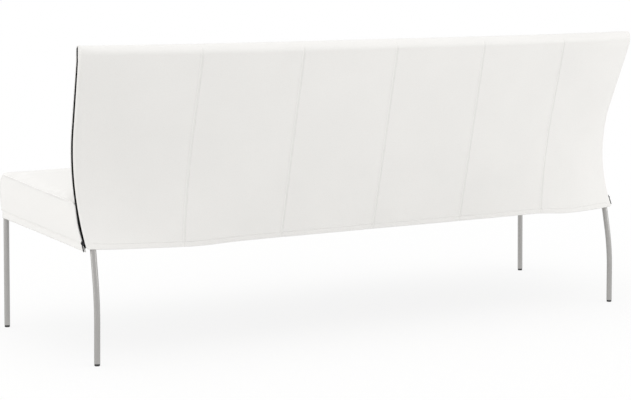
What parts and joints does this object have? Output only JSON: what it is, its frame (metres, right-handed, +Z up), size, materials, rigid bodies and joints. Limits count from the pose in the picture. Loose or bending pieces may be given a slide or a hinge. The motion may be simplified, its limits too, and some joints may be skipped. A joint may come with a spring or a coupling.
{
  "type": "dining sofa",
  "caption": "Long dining sofa with a white leather seat and a tall bowed back, black zips down the back's ends, on slim round steel legs.",
  "frame": {"origin": "on the floor under the middle of the sofa's bounding box", "axes": "+X along the sofa to the sitter's left, the front faces -Y, +Z up"},
  "size_m": [1.942, 0.726, 0.8875],
  "materials": {
    "white_leather": "matt pigmented leather, slightly warm white",
    "foam": "open-cell upholstery foam",
    "webbing": "woven elastic webbing",
    "dust_cloth": "thin non-woven cloth",
    "glide_black": "moulded black plastic",
    "zinc": "zinc-plated steel",
    "brushed_steel": "satin steel tube and plate",
    "zip_black": "black woven tape and black teeth",
    "slider_metal": "black-coated die casting",
    "beech": "planed beech"
  },
  "bodies": {
    "sofa": {"back_foam": "foam", "back_front_cover": "white_leather", "back_lower_rail": "beech", "back_strap_1": "webbing", "back_strap_2": "webbing", "back_strap_3": "webbing", "back_strap_4": "webbing", "back_strap_5": "webbing", "cross_rail_left": "beech", "cross_rail_right": "beech", "dust_cloth": "dust_cloth", "end_post_left": "beech", "end_post_right": "beech", "end_rail_left": "beech", "end_rail_right": "beech", "front_glide_left": "glide_black", "front_glide_right": "glide_black", "front_leg_left": "brushed_steel", "front_leg_plate_left": "brushed_steel", "front_leg_plate_right": "brushed_steel", "front_leg_right": "brushed_steel", "front_rail": "beech", "front_screw_left_1": "zinc", "front_screw_left_2": "zinc", "front_screw_right_1": "zinc", "front_screw_right_2": "zinc", "inner_post_left": "beech", "inner_post_right": "beech", "rear_cover": "white_leather", "rear_glide_left": "glide_black", "rear_glide_right": "glide_black", "rear_leg_left": "brushed_steel", "rear_leg_plate_left": "brushed_steel", "rear_leg_plate_right": "brushed_steel", "rear_leg_right": "brushed_steel", "rear_rail": "beech", "rear_screw_left_1": "zinc", "rear_screw_left_2": "zinc", "rear_screw_right_1": "zinc", "rear_screw_right_2": "zinc", "seat_end_border_left": "white_leather", "seat_end_border_right": "white_leather", "seat_foam": "foam", "seat_front_border": "white_leather", "seat_strap_1": "webbing", "seat_strap_2": "webbing", "seat_strap_3": "webbing", "seat_strap_4": "webbing", "seat_strap_5": "webbing", "seat_strap_6": "webbing", "seat_top_panel": "white_leather", "top_rail": "beech", "zip_tape_left": "zip_black", "zip_tape_right": "zip_black", "zip_teeth_left": "zip_black", "zip_teeth_right": "zip_black"},
    "slider_left": {"zip_slider_left": "slider_metal"},
    "pull_left": {"zip_pull_left": "slider_metal"},
    "slider_right": {"zip_slider_right": "slider_metal"},
    "pull_right": {"zip_pull_right": "slider_metal"}
  },
  "joints": [
    {"name": "slider_left_travel", "type": "hinge", "parent": "sofa", "child": "slider_left", "pos_m": [0.92108, 0.5048, 0.52], "axis": [-0.9987, 0, 0.0519], "range_deg": [0, 50]},
    {"name": "pull_left_swing", "type": "hinge", "parent": "slider_left", "child": "pull_left", "pos_m": [0.91771, 0.20245, 0.33969], "axis": [-0.0266, -0.859, -0.5114], "range_deg": [0, 150]},
    {"name": "slider_right_travel", "type": "hinge", "parent": "sofa", "child": "slider_right", "pos_m": [-0.92108, 0.5048, 0.52], "axis": [-0.9987, 0, -0.0519], "range_deg": [0, 50]},
    {"name": "pull_right_swing", "type": "hinge", "parent": "slider_right", "child": "pull_right", "pos_m": [-0.91771, 0.20245, 0.33969], "axis": [-0.0266, 0.859, 0.5114], "range_deg": [0, 150]}
  ]
}
